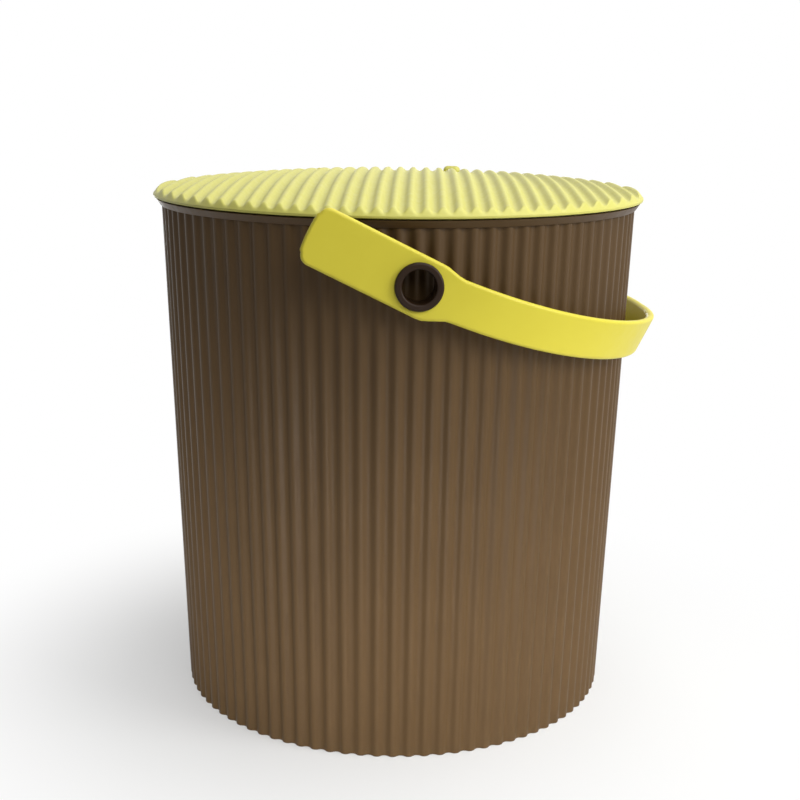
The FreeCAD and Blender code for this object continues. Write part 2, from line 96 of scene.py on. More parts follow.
class TubSizes(bpy.types.PropertyGroup):
    foot_radius: length("Foot radius", "Flute crests at the foot", 141.7)
    mouth_radius: length("Mouth radius", "Flute crests at the top of the fluted wall", 152.4)
    fluted_height: length("Fluted height", "Height at which the mouth radius is measured", 324.5)
    flute_count: IntProperty(name="Flutes", description="Upright flutes round the wall", default=90, min=3)
    flute_depth: length("Flute depth", "Crest to valley", 2.0)
    wall: length("Wall", "Wall behind the valleys", 2.2)
    foot_recess: length("Foot recess", "Hollow under the floor", 6.0)
    foot_width: length("Foot width", "Foot ring, from the valleys inwards", 5.0)
    foot_round: length("Foot rounding", "Rounded edges of the foot ring", 0.9)
    floor_thickness: length("Floor", "Thickness of the floor", 3.0)
    floor_cove: length("Cove", "Rounding between floor and wall", 2.0)
    rim_overhang: length("Rim overhang", "Top of the rim band past the flute crests", 3.6)
    rim_taper: length("Rim taper", "How much the band draws in towards its lower edge", 3.0)
    rim_height: length("Rim height", "Height of the band", 4.4)
    rim_round: length("Rim rounding", "Rounded edges of the band", 0.5)


class PivotSizes(bpy.types.PropertyGroup):
    hole: length("Hole", "Radius of the eyelet's open middle", 9.5)
    sleeve_wall: length("Sleeve wall", "Wall of the eyelet's sleeve", 1.75)
    flange_width: length("Flange width", "Flange past the sleeve", 2.25)
    flange_thickness: length("Flange thickness", "Flange outside the strap", 2.2)
    flange_round: length("Flange rounding", "Outer edge of the flange", 1.4)
    hole_round: length("Hole rounding", "Inner edge of the flange", 1.2)
    boss_wall: length("Boss wall", "Wall of the hollow boss behind the strap", 3.2)
    boss_root: length("Boss root", "From the boss's outer face to its root inside the wall", 11.9)
    boss_round: length("Boss rounding", "Outer edge of the boss", 0.4)
    sleeve_fit: length("Sleeve fit", "Gap between sleeve and boss", 0.05)


class HandleSizes(bpy.types.PropertyGroup):
    thickness: length("Thickness", "Thickness of the strap", 4.5)
    reach: length("Reach", "From the pivots to the inside of the loop's end", 161.4)
    loop_flat: length("Loop flat", "Half the straight stretch at the loop's end", 8.5)
    loop_width: length("Loop width", "Width of the loop", 25.0)
    loop_rise: length("Loop rise", "How far up the loop starts from the tail's middle line", 1.8)
    loop_slope: angle("Loop slope", "How much the loop turns up where it starts", 4.9)
    end_slope: angle("End slope", "How much the loop is turned up at its end", 16.0)
    sweep_along: length("Sweep place", "Where the two slopes would meet", 96.0)
    sweep_radius: length("Sweep radius", "Radius of the sweep between the slopes", 700.0)
    tail_length: length("Tail length", "From the pivot to the end of the tail", 67.0)
    tail_width: length("Tail width", "Width of the tail", 33.5)
    tail_corner: length("Tail corner", "Corner radius of the tail's end", 6.0)
    tail_bow: length("Tail bow", "How far the end of the tail bows out", 1.6)
    step_start: length("Step start", "Where the tail starts to narrow", 9.0)
    step_end: length("Step end", "Where the loop starts", 21.0)
    step_round: length("Step rounding", "Radius of the narrowing's curves", 11.0)
    edge_round: length("Edge rounding", "Rounded long edges of the strap", 1.9)
    hole_radius: length("Hole", "Hole round the eyelet's sleeve", 11.55)
    hang: angle("Hang", "How far the loop leans below the horizontal at rest", 26.4)


class LidSizes(bpy.types.PropertyGroup):
    plate: length("Plate", "Plate under the valleys of the ribs", 2.8)
    crown: length("Crown", "How far the middle of the lid rises above its edge", 10.0)
    rib_depth: length("Rib depth", "Crest to valley", 2.6)
    rib_pitch: length("Rib pitch", "Crest to crest", 9.0)
    lip: length("Lip", "Upright lip at the lid's edge", 1.3)
    lip_round: length("Lip rounding", "Lower edge of the lip", 0.4)
    bevel: length("Rib ends", "How far the rib ends slope in over their height", 3.2)
    rib_end_round: length("Rib end rounding", "Soft edge between a rib and its sloped end", 1.6)
    turn: angle("Turn", "How far the lid is turned in its seat, clockwise from above", 5.1)
    seat_height: length("Seat height", "Bead that keeps the lid's edge off the rim", 0.8)
    seat_width: length("Seat width", "Width of the bead", 2.5)
    seat_radius: length("Seat radius", "Outside of the bead", 152.8)
    skirt_depth: length("Skirt depth", "Plug skirt below the lid", 10.0)
    skirt_wall: length("Skirt wall", "Wall of the skirt", 2.0)
    skirt_radius: length("Skirt radius", "Outside of the skirt", 147.3)
    tab_width: length("Tab width", "Finger tab along the edge", 12.5)
    tab_depth: length("Tab depth", "Finger tab across the edge", 7.5)
    tab_rise: length("Tab rise", "Finger tab above the rib crests at the edge", 4.2)
    tab_inset: length("Tab inset", "Finger tab in from the lid's edge", 1.5)
    tab_round: length("Tab rounding", "Rounded edges of the tab", 3.2)
    tab_turn: angle("Tab turn", "From the ribs' direction to the tab, clockwise from above", 14.3)


class Finishes(bpy.types.PropertyGroup):
    brown: colour("Brown", "Moulded brown of the tub", "#5A452B")
    brown_shade: colour("Brown shade", "Darker cloud in the brown", "#533F26")
    ring: colour("Ring", "Moulded dark brown of the eyelets", "#2F2013")
    ring_shade: colour("Ring shade", "Darker cloud in the eyelets", "#281A0F")
    mustard: colour("Mustard", "Moulded yellow of the handle", "#E0D446")
    mustard_shade: colour("Mustard shade", "Darker cloud in the handle", "#D9CB3E")
    cream: colour("Pale yellow", "Moulded yellow of the lid", "#CFCB68")
    cream_shade: colour("Pale yellow shade", "Darker cloud in the lid", "#C8C35E")
    floor: colour("Floor", "Plain pale floor", "#F4F4F2")


class StageSizes(bpy.types.PropertyGroup):
    camera_place: FloatVectorProperty(
        name="Camera", description="Where the camera stands", unit="LENGTH",
        default=(-62.6 * MM, -872.9 * MM, 400.2 * MM))
    heading: angle("Heading", "Camera's heading, clockwise from +Y", 4.274)
    pitch: angle("Pitch", "How far the camera looks down", 13.558)
    roll: angle("Roll", "Camera's roll, counter-clockwise", 0.696)
    lens: FloatProperty(
        name="Lens", description="Focal length in millimetres", default=59.83, min=1.0, unit="CAMERA")
    floor_radius: length("Floor radius", "Size of the floor", 620.0)
    shadow_radius: length("Shadow radius", "Where the floor has faded to white", 370.0)


# Helpers for meshes

SHARP_ANGLE = math.radians(40)


def chain(bm, points, closed=False):
    """Edges from point to point of a profile in the XZ plane."""
    verts = [bm.verts.new((radius, 0.0, height)) for radius, height in points]
    for first, second in zip(verts, verts[1:]):
        bm.edges.new((first, second))
    if closed:
        bm.edges.new((verts[-1], verts[0]))
    return verts


def soften(bm, vert, reach, segments=4):
    """Rounds a corner of a profile, from this far before it to this far after it."""
    bmesh.ops.bevel(
        bm, geom=[vert], offset=reach, offset_type="OFFSET", segments=segments, profile=0.5,
        affect="VERTICES", material=-1)


def turn_round(bm, steps):
    """Spins everything about Z into a closed shell that faces outwards."""
    geometry = bm.verts[:] + bm.edges[:]
    bmesh.ops.spin(
        bm, geom=geometry, cent=(0, 0, 0), axis=(0, 0, 1), dvec=(0, 0, 0), angle=2 * math.pi,
        steps=steps, use_merge=True)
    bmesh.ops.remove_doubles(bm, verts=bm.verts, dist=TINY)
    bmesh.ops.recalc_face_normals(bm, faces=bm.faces)


def wave(turns, pitch, depth):
    """Height over the valley of a wave of equal arcs, with a crest at each whole number of turns."""
    offset = (turns + 0.5) % 1.0 - 0.5
    half_chord = pitch / 4
    radius = (half_chord ** 2 + (depth / 2) ** 2) / depth
    if abs(offset) <= 0.25:
        run = offset * pitch
        return depth - radius + math.sqrt(radius ** 2 - run ** 2)
    run = (0.5 - abs(offset)) * pitch
    return radius - math.sqrt(radius ** 2 - run ** 2)


def lay_along_pivots(bm, side):
    """Lays a shape turned about Z along the pivots' axis on one side of the tub."""
    bmesh.ops.rotate(bm, verts=bm.verts, cent=(0, 0, 0), matrix=Matrix.Rotation(SIDES[side], 3, "X"))
    bmesh.ops.translate(bm, verts=bm.verts, vec=(0, 0, PIVOT_HEIGHT))


def make_piece(name, bm, material, body, node=None):
    """Object from a mesh, with its material, riding on a body and standing for a node if one is given."""
    mesh = bpy.data.meshes.new(name)
    bm.to_mesh(mesh)
    bm.free()
    mesh.shade_smooth()
    mesh.set_sharp_from_angle(angle=SHARP_ANGLE)
    mesh.materials.append(material)
    piece = bpy.data.objects.new(name, mesh)
    bpy.context.scene.collection.objects.link(piece)
    weights = piece.modifiers.new("even_shading", "WEIGHTED_NORMAL")
    weights.keep_sharp = True
    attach(piece, body)
    if node:
        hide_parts(node)
    return piece


# Materials

PLASTIC_IOR = 1.49
UPRIGHT_DRAW = (1.0, 1.0, 0.06)
NO_DRAW = (1.0, 1.0, 1.0)


def add_node(tree, kind, inputs=None, **settings):
    """Node with its settings, and with its inputs set or linked."""
    node = tree.nodes.new(kind)
    for key, value in settings.items():
        setattr(node, key, value)
    for key, value in (inputs or {}).items():
        if isinstance(value, bpy.types.NodeSocket):
            tree.links.new(value, node.inputs[key])
        else:
            node.inputs[key].default_value = value
    return node


def moulded_polypropylene(name, base, shade, roughness, reflection, cloud_mm, draw):
    """Polypropylene from a spark-eroded mould: a soft satin sheen, a fine even grain that breaks up
    highlights, faint clouding where the melt flowed, and slightly shinier streaks along the draw."""
    material = bpy.data.materials.new(name)
    material.use_nodes = True
    tree = material.node_tree
    shader = tree.nodes["Principled BSDF"]
    place = add_node(tree, "ShaderNodeTexCoord").outputs["Object"]
    cloud = add_node(tree, "ShaderNodeTexNoise", {
        "Vector": place, "Scale": 1 / (cloud_mm * MM), "Detail": 3.0, "Roughness": 0.55})
    tint = add_node(tree, "ShaderNodeMix", {
        "Factor": cloud.outputs["Fac"], "A": (*base, 1.0), "B": (*shade, 1.0)}, data_type="RGBA")
    drawn = add_node(tree, "ShaderNodeMapping", {"Vector": place, "Scale": draw})
    streak_mm = 5.0
    streak = add_node(tree, "ShaderNodeTexNoise", {
        "Vector": drawn.outputs["Vector"], "Scale": 1 / (streak_mm * MM), "Detail": 4.0})
    sheen = add_node(tree, "ShaderNodeMapRange", {
        "Value": streak.outputs["Fac"], "From Min": 0.3, "From Max": 0.7,
        "To Min": roughness - 0.05, "To Max": roughness + 0.06})
    # The mould's grain is about 0.1 mm, drawn at 0.45 mm so that it shows at this distance
    grain_mm = 0.45
    grain = add_node(tree, "ShaderNodeTexNoise", {
        "Vector": place, "Scale": 1 / (grain_mm * MM), "Detail": 2.0, "Roughness": 0.6})
    bump = add_node(tree, "ShaderNodeBump", {
        "Height": grain.outputs["Fac"], "Strength": 0.18, "Distance": 0.04 * MM})
    tree.links.new(tint.outputs["Result"], shader.inputs["Base Color"])
    tree.links.new(sheen.outputs["Result"], shader.inputs["Roughness"])
    tree.links.new(bump.outputs["Normal"], shader.inputs["Normal"])
    shader.inputs["IOR"].default_value = PLASTIC_IOR
    shader.inputs["Specular IOR Level"].default_value = reflection
    return material


def material_of(key):
    """Moulded plastic of one of the four finishes, made once."""
    finishes = bpy.context.scene.bucket_finishes
    recipes = {
        "tub_plastic": {
            "name": "brown_polypropylene_moulded",
            "base": finishes.brown, "shade": finishes.brown_shade,
            "roughness": 0.42, "reflection": 0.18, "cloud_mm": 38.0, "draw": UPRIGHT_DRAW},
        "ring_plastic": {
            "name": "dark_brown_polypropylene_moulded",
            "base": finishes.ring, "shade": finishes.ring_shade,
            "roughness": 0.32, "reflection": 0.15, "cloud_mm": 12.0, "draw": NO_DRAW},
        "handle_plastic": {
            "name": "mustard_polypropylene_moulded",
            "base": finishes.mustard, "shade": finishes.mustard_shade,
            "roughness": 0.40, "reflection": 0.3, "cloud_mm": 30.0, "draw": NO_DRAW},
        "lid_plastic": {
            "name": "pale_yellow_polypropylene_moulded",
            "base": finishes.cream, "shade": finishes.cream_shade,
            "roughness": 0.44, "reflection": 0.45, "cloud_mm": 34.0, "draw": NO_DRAW},
    }
    recipe = recipes[key]
    return bpy.data.materials.get(recipe["name"]) or moulded_polypropylene(**recipe)


# Tub

FLUTE_STEPS = 12


def crest_radius(sizes, height):
    """Flute crests at a height."""
    return sizes.foot_radius + (sizes.mouth_radius - sizes.foot_radius) * height / sizes.fluted_height


def inner_radius(sizes, height):
    """Inner face of the wall at a height."""
    return crest_radius(sizes, height) - sizes.flute_depth - sizes.wall


def tub_profile(bm, sizes):
    """Half section of the tub, from under its floor, round the wall and back to the floor."""
    rim_base = RIM_TOP - sizes.rim_height
    rim_radius = sizes.mouth_radius + sizes.rim_overhang
    recess_radius = sizes.foot_radius - sizes.flute_depth - sizes.foot_width
    floor = sizes.foot_recess + sizes.floor_thickness
    corners = [
        (0.0, sizes.foot_recess, 0.0),
        (recess_radius, sizes.foot_recess, sizes.foot_round),
        (recess_radius, 0.0, sizes.foot_round),
        (sizes.foot_radius, 0.0, sizes.foot_round),
        (crest_radius(sizes, rim_base), rim_base, 0.0),
        (rim_radius - sizes.rim_taper, rim_base, sizes.rim_round),
        (rim_radius, RIM_TOP, sizes.rim_round),
        (inner_radius(sizes, RIM_TOP), RIM_TOP, sizes.rim_round),
        (inner_radius(sizes, floor), floor, sizes.floor_cove),
        (0.0, floor, 0.0),
    ]
    verts = chain(bm, [(radius, height) for radius, height, reach in corners])
    for vert, (radius, height, reach) in zip(verts, corners):
        if reach:
            soften(bm, vert, reach)


def cut_flutes(bm, sizes):
    """Draws the outer wall in between the crests."""
    rim_base = RIM_TOP - sizes.rim_height
    for vert in bm.verts:
        radius = math.hypot(vert.co.x, vert.co.y)
        crest = crest_radius(sizes, vert.co.z)
        skin = crest - sizes.flute_depth - sizes.wall / 2
        if vert.co.z < rim_base + TINY and skin < radius < crest + TINY:
            turns = math.atan2(vert.co.x, -vert.co.y) * sizes.flute_count / (2 * math.pi)
            pitch = 2 * math.pi * crest / sizes.flute_count
            drawn_in = sizes.flute_depth - wave(turns, pitch, sizes.flute_depth)
            scale = (radius - drawn_in) / radius
            vert.co.x *= scale
            vert.co.y *= scale


class BUCKET_OT_tub(bpy.types.Operator):
    """Model the fluted tub with its rim band, floor and foot ring"""
    bl_idname = "bucket.tub"
    bl_label = "Tub"

    def execute(self, context):
        sizes = context.scene.bucket_tub
        bm = bmesh.new()
        tub_profile(bm, sizes)
        turn_round(bm, sizes.flute_count * FLUTE_STEPS)
        cut_flutes(bm, sizes)
        make_piece("fluted_tub", bm, material_of("tub_plastic"), "tub_body", "tub")
        return {"FINISHED"}


# Pivots

ROUND_STEPS = 96


class BUCKET_OT_bosses(bpy.types.Operator):
    """Model the hollow bosses on the tub's wall that hold the eyelets"""
    bl_idname = "bucket.bosses"
    bl_label = "Bosses"

    def execute(self, context):
        sizes = context.scene.bucket_pivots
        socket = sizes.hole + sizes.sleeve_wall + sizes.sleeve_fit
        outside = socket + sizes.boss_wall
        root = BOSS_FACE - sizes.boss_root
        for side in SIDES:
            bm = bmesh.new()
            points = [(socket, root), (outside, root), (outside, BOSS_FACE), (socket, BOSS_FACE)]
            verts = chain(bm, points, closed=True)
            soften(bm, verts[2], sizes.boss_round)
            soften(bm, verts[3], sizes.boss_round)
            turn_round(bm, ROUND_STEPS)
            lay_along_pivots(bm, side)
            make_piece("pivot_boss_" + side, bm, material_of("tub_plastic"), "tub_body")
        return {"FINISHED"}


class BUCKET_OT_eyelets(bpy.types.Operator):
    """Model the flanged eyelets that the handle swings on"""
    bl_idname = "bucket.eyelets"
    bl_label = "Eyelets"

    def execute(self, context):
        sizes = context.scene.bucket_pivots
        sleeve = sizes.hole + sizes.sleeve_wall
        flange = sleeve + sizes.flange_width
        inner_end = RING_LOW.y
        face = RING_HIGH.y
        shoulder = face - sizes.flange_thickness
        for side in SIDES:
            bm = bmesh.new()
            points = [
                (sizes.hole, inner_end), (sleeve, inner_end), (sleeve, shoulder),
                (flange, shoulder), (flange, face), (sizes.hole, face),
            ]
            verts = chain(bm, points, closed=True)
            soften(bm, verts[4], sizes.flange_round, segments=6)
            soften(bm, verts[5], sizes.hole_round, segments=6)
            turn_round(bm, ROUND_STEPS)
            lay_along_pivots(bm, side)
            node = "pivot_ring_" + side
            make_piece("eyelet_" + side, bm, material_of("ring_plastic"), "tub_body", node)
        return {"FINISHED"}


# Handle, laid out flat first: X along the strap from the middle of its loop, Y through it, Z across it

LOOP_SPACING = 4.0 * MM
CAP_LENGTH = 8.0 * MM
ROWS = (0.0, 0.09, 0.29, 0.5, 0.71, 0.91, 1.0)
HOLE_STEPS = 40
HOLE_MARGIN = 2.0 * MM
CORNER_ANGLE = math.radians(60)


def bend(along, corner, slope_in, slope_out, radius):
    """Rise over the incoming line of a corner between two slopes, rounded to a radius."""
    angle_in = math.atan(slope_in)
    angle_out = math.atan(slope_out)
    tangent = radius * math.tan(abs(angle_out - angle_in) / 2)
    start = corner - tangent * math.cos(angle_in)
    end = corner + tangent * math.cos(angle_out)
    if along <= start:
        return 0.0
    if along >= end:
        return (along - corner) * (slope_out - slope_in)
    turn = math.copysign(1.0, slope_out - slope_in)
    centre = start - turn * radius * math.sin(angle_in)
    drop = math.sqrt(radius ** 2 - (along - centre) ** 2)
    start_drop = math.sqrt(radius ** 2 - (start - centre) ** 2)
    return turn * (start_drop - drop) - (along - start) * slope_in


def strap_edge(sizes, along, sign):
    """Upper (sign 1) or lower (-1) edge of the strap at a distance along from the pivots."""
    half_tail = sizes.tail_width / 2
    half_loop = sizes.loop_width / 2
    start = sizes.step_end - sign * half_loop * math.sin(sizes.loop_slope)
    start_up = sizes.loop_rise + sign * half_loop * math.cos(sizes.loop_slope)
    step_slope = (start_up - sign * half_tail) / (start - sizes.step_start)
    loop_slope = math.tan(sizes.loop_slope)
    end_slope = math.tan(sizes.end_slope)
    mean = (sizes.loop_slope + sizes.end_slope) / 2
    half_turn = (sizes.end_slope - sizes.loop_slope) / 2
    sweep = sizes.sweep_along - sign * half_loop * math.sin(mean) / math.cos(half_turn)
    return (
        sign * half_tail
        + bend(along, sizes.step_start, 0.0, step_slope, sizes.step_round)
        + bend(along, start, step_slope, loop_slope, sizes.step_round)
        + bend(along, sweep, loop_slope, end_slope, sizes.sweep_radius - sign * half_loop)
    )


def strap_place(sizes, distance, out):
    """Place in plan of a point of the strap: along from the pivots, and sideways."""
    corner = STRAP_OUTER - sizes.thickness - sizes.loop_flat
    side = math.copysign(1.0, distance)
    past_flat = abs(distance) - sizes.loop_flat
    quarter = corner * math.pi / 2
    if past_flat <= 0:
        return sizes.reach + out, distance
    if past_flat >= quarter:
        return sizes.reach - corner - (past_flat - quarter), side * (sizes.loop_flat + corner + out)
    turn = past_flat / corner
    along = sizes.reach - corner + (corner + out) * math.cos(turn)
    return along, side * (sizes.loop_flat + (corner + out) * math.sin(turn))


def tail_stations(sizes):
    """Distances along from the pivots of the stations on a tail, from its cap to the pivots' far side."""
    cap = sizes.tail_bow + CAP_LENGTH - sizes.tail_length
    window = sizes.hole_radius + HOLE_MARGIN
    count = round((-window - cap) / LOOP_SPACING)
    straight = [cap + (-window - cap) * step / count for step in range(count + 1)]
    across_count = round(2 * window / LOOP_SPACING)
    across = [-window + 2 * window * step / across_count for step in range(1, across_count + 1)]
    return straight + across


def strap_stations(sizes):
    """Distances along the strap of its stations, from one tail's end to the other's."""
    corner = STRAP_OUTER - sizes.thickness - sizes.loop_flat
    pivot = sizes.loop_flat + corner * math.pi / 2 + sizes.reach - corner
    tail = [pivot - along for along in tail_stations(sizes)]
    count = round(2 * tail[-1] / LOOP_SPACING)
    loop = [tail[-1] - 2 * tail[-1] * step / count for step in range(1, count)]
    return pivot, tail + loop + [-distance for distance in reversed(tail)]


def flat_strap(bm, sizes):
    """The strap's face as a grid of stations and rows, with a window round each pivot."""
    pivot, stations = strap_stations(sizes)
    bmesh.ops.create_grid(bm, x_segments=len(stations) - 1, y_segments=len(ROWS) - 1, size=1.0)
    for vert in bm.verts:
        column = round((vert.co.x + 1) / 2 * (len(stations) - 1))
        row = round((vert.co.y + 1) / 2 * (len(ROWS) - 1))
        distance = stations[column]
        along = strap_place(sizes, distance, sizes.thickness / 2)[0]
        lower = strap_edge(sizes, along, -1)
        upper = strap_edge(sizes, along, 1)
        height = lower + ROWS[row] * (upper - lower)
        vert.co = (distance, 0.0, height)
    window = sizes.hole_radius + HOLE_MARGIN
    for centre in (pivot, -pivot):
        open_window(bm, sizes, centre, window)
        cap_tail(bm, sizes, math.copysign(stations[0], centre))


def cap_tail(bm, sizes, start):
    """Lengthens one tail by its end, with rounded corners and a slight bow."""
    def ends_at(edge, place):
        return all(abs(vert.co.x - place) < TINY for vert in edge.verts)

    end = start + math.copysign(CAP_LENGTH, start)
    last = [edge for edge in bm.edges if ends_at(edge, start)]
    grown = bmesh.ops.extrude_edge_only(bm, edges=last)["geom"]
    moved = [item for item in grown if isinstance(item, bmesh.types.BMVert)]
    bmesh.ops.translate(bm, verts=moved, vec=(end - start, 0, 0))
    seams = {edge for vert in moved for edge in vert.link_edges if len(edge.link_faces) == 2}
    bmesh.ops.dissolve_edges(bm, edges=list(seams), use_verts=True)
    corners = [vert for vert in bm.verts if abs(vert.co.x - end) < TINY]
    bmesh.ops.bevel(
        bm, geom=corners, offset=sizes.tail_corner, offset_type="OFFSET", segments=8, profile=0.5,
        affect="VERTICES", material=-1)
    straight = [edge for edge in bm.edges if ends_at(edge, end)]
    bmesh.ops.subdivide_edges(bm, edges=straight, cuts=9)
    for vert in bm.verts:
        if abs(vert.co.x - end) < TINY:
            across = vert.co.z / (sizes.tail_width / 2)
            vert.co.x += math.copysign(sizes.tail_bow * (1 - across ** 2), start)


def open_window(bm, sizes, centre, window):
    """Replaces the faces round one pivot by a ring that leads to a round hole."""
    inside = []
    for face in bm.faces:
        middle = face.calc_center_median()
        edge = abs(middle.z) > sizes.tail_width * (0.5 - ROWS[1])
        if abs(middle.x - centre) < window and not edge:
            inside.append(face)
    before = {edge for edge in bm.edges if edge.is_boundary}
    bmesh.ops.delete(bm, geom=inside, context="FACES")
    frame_edges = [edge for edge in bm.edges if edge.is_boundary and edge not in before]
    circle = bmesh.ops.create_circle(
        bm, segments=HOLE_STEPS, radius=sizes.hole_radius, cap_ends=False,
        matrix=Matrix.Translation((centre, 0, 0)) @ Matrix.Rotation(math.radians(90), 4, "X"))
    circle_edges = list({edge for vert in circle["verts"] for edge in vert.link_edges})
    bmesh.ops.bridge_loops(bm, edges=frame_edges + circle_edges)


def thicken_strap(bm, sizes):
    """Gives the flat strap its thickness and rounds its outline."""
    thick = bmesh.ops.extrude_face_region(bm, geom=bm.faces[:], use_keep_orig=True)
    moved = [item for item in thick["geom"] if isinstance(item, bmesh.types.BMVert)]
    bmesh.ops.translate(bm, verts=moved, vec=(0, sizes.thickness, 0))
    bmesh.ops.recalc_face_normals(bm, faces=bm.faces)
    pivot = strap_stations(sizes)[0]
    outline = []
    for edge in bm.edges:
        middle = (edge.verts[0].co + edge.verts[1].co) / 2
        from_hole = math.hypot(abs(middle.x) - pivot, middle.z) - sizes.hole_radius
        lies_flat = abs(edge.verts[0].co.y - edge.verts[1].co.y) < TINY
        if edge.is_manifold and edge.calc_face_angle() > CORNER_ANGLE:
            if lies_flat and from_hole > HOLE_MARGIN / 2:
                outline.append(edge)
    bmesh.ops.bevel(
        bm, geom=outline, offset=sizes.edge_round, offset_type="OFFSET", segments=5, profile=0.5,
        affect="EDGES", clamp_overlap=False, material=-1)


def bend_strap(bm, sizes):
    """Wraps the flat strap round its loop, sweeps it up and hangs it on the pivots."""
    for vert in bm.verts:
        along, sideways = strap_place(sizes, vert.co.x, vert.co.y)
        middle = strap_place(sizes, vert.co.x, sizes.thickness / 2)[0]
        if along > 0:
            centre = strap_edge(sizes, along, 1) + strap_edge(sizes, along, -1)
            centre_middle = strap_edge(sizes, middle, 1) + strap_edge(sizes, middle, -1)
            lift = (centre - centre_middle) / 2
        else:
            lift = 0.0
        vert.co = (along, sideways, vert.co.z + lift)
    bmesh.ops.recalc_face_normals(bm, faces=bm.faces)
    bmesh.ops.rotate(bm, verts=bm.verts, cent=(0, 0, 0), matrix=Matrix.Rotation(sizes.hang, 3, "Y"))
    bmesh.ops.translate(bm, verts=bm.verts, vec=(0, 0, PIVOT_HEIGHT))


class BUCKET_OT_handle(bpy.types.Operator):
    """Model the strap handle from a flat strap that is thickened, rounded and bent"""
    bl_idname = "bucket.handle"
    bl_label = "Handle"

    def execute(self, context):
        sizes = context.scene.bucket_handle
        bm = bmesh.new()
        flat_strap(bm, sizes)
        thicken_strap(bm, sizes)
        bend_strap(bm, sizes)
        make_piece(
            "strap_handle", bm, material_of("handle_plastic"), "handle_body", "handle")
        return {"FINISHED"}


# Lid, laid out with its ribs along Y and its underside at zero

RIB_STEPS = 12
CHORD_STEPS = 84
EVEN_SHARE = 0.9
UNDER_CROWN_RINGS = (1.0, 0.8, 0.6, 0.4, 0.2, 0.05)


def rib_columns(sizes):
    """Places across the ribs: evenly spaced over most of the lid, then in even steps round its edge."""
    spacing = sizes.rib_pitch / RIB_STEPS
    even_count = int(EVEN_SHARE * LID_RADIUS / spacing)
    even_end = even_count * spacing
    turn = math.acos(even_end / LID_RADIUS)
    edge_count = round(turn * LID_RADIUS * math.sin(turn) / spacing)
    edge = [LID_RADIUS * math.cos(turn * step / edge_count) for step in range(edge_count)]
    even = [spacing * step for step in range(-even_count, even_count + 1)]
    return [-place for place in edge] + even + edge[::-1]


def soft_least(first, second, blend):
    """The lesser of two heights, with a rounded crossing."""
    overlap = max(blend - abs(first - second), 0.0) / blend
    return min(first, second) - overlap ** 2 * blend / 4


def crown_rise(sizes, radius):
    """How far the crown stands above the lid's edge at a distance from the middle."""
    dome = (LID_RADIUS ** 2 + sizes.crown ** 2) / (2 * sizes.crown)
    return sizes.crown - dome + math.sqrt(dome ** 2 - radius ** 2)


def ribbed_top(bm, sizes):
    """Round crowned face: ribs run along Y and slope down to the lip at the edge."""
    columns = rib_columns(sizes)
    crest = sizes.plate + sizes.rib_depth
    bmesh.ops.create_grid(bm, x_segments=len(columns) - 1, y_segments=CHORD_STEPS, size=1.0)
    for vert in bm.verts:
        across = columns[round((vert.co.x + 1) / 2 * (len(columns) - 1))]
        half_chord = math.sqrt(max(LID_RADIUS ** 2 - across ** 2, 0.0))
        along = half_chord * math.sin(vert.co.y * math.pi / 2)
        radius = min(math.hypot(across, along), LID_RADIUS)
        inset = LID_RADIUS - radius
        rib = sizes.plate + wave(across / sizes.rib_pitch, sizes.rib_pitch, sizes.rib_depth)
        rib += crown_rise(sizes, radius)
        slope = sizes.lip + inset * (crest - sizes.lip) / sizes.bevel
        vert.co = (across, along, soft_least(rib, slope, sizes.rib_end_round))
    bmesh.ops.remove_doubles(bm, verts=bm.verts, dist=TINY)


def next_ring(bm, edges, radius, height):
    """Extrudes a round open edge to another radius and height, and returns the new open edge."""
    grown = bmesh.ops.extrude_edge_only(bm, edges=edges)["geom"]
    for item in grown:
        if isinstance(item, bmesh.types.BMVert):
            scale = radius / math.hypot(item.co.x, item.co.y)
            item.co = (item.co.x * scale, item.co.y * scale, height)
    return [item for item in grown if isinstance(item, bmesh.types.BMEdge) and item.is_boundary]


def lid_underside(bm, sizes):
    """Lip, seat bead, plug skirt and hollow underside, ring by ring inwards from the edge."""
    seat_inside = sizes.seat_radius - sizes.seat_width
    skirt_inside = sizes.skirt_radius - sizes.skirt_wall
    half_round = sizes.lip_round * (1 - math.sqrt(0.5))
    rings = [
        (LID_RADIUS, sizes.lip_round),
        (LID_RADIUS - half_round, half_round),
        (LID_RADIUS - sizes.lip_round, 0.0),
        (sizes.seat_radius, 0.0),
        (sizes.seat_radius, -sizes.seat_height),
        (seat_inside, -sizes.seat_height),
        (seat_inside, 0.0),
        (sizes.skirt_radius, 0.0),
        (sizes.skirt_radius, -sizes.skirt_depth),
        (skirt_inside, -sizes.skirt_depth),
    ]
    for share in UNDER_CROWN_RINGS:
        rings.append((skirt_inside * share, crown_rise(sizes, skirt_inside * share)))
    edges = [edge for edge in bm.edges if edge.is_boundary]
    for radius, height in rings:
        edges = next_ring(bm, edges, radius, height)
    bmesh.ops.edgeloop_fill(bm, edges=edges)
    bmesh.ops.recalc_face_normals(bm, faces=bm.faces)


def set_lid(bm, sizes, turn):
    """Turns a shape clockwise from above and sets it down on the rim."""
    bmesh.ops.rotate(bm, verts=bm.verts, cent=(0, 0, 0), matrix=Matrix.Rotation(-turn, 3, "Z"))
    bmesh.ops.translate(bm, verts=bm.verts, vec=(0, 0, LID_FOOT + sizes.skirt_depth))


class BUCKET_OT_lid(bpy.types.Operator):
    """Model the ribbed lid with its lip, seat bead and plug skirt"""
    bl_idname = "bucket.lid"
    bl_label = "Lid"

    def execute(self, context):
        sizes = context.scene.bucket_lid
        bm = bmesh.new()
        ribbed_top(bm, sizes)
        lid_underside(bm, sizes)
        set_lid(bm, sizes, sizes.turn)
        make_piece("ribbed_lid", bm, material_of("lid_plastic"), "lid_body", "lid")
        return {"FINISHED"}


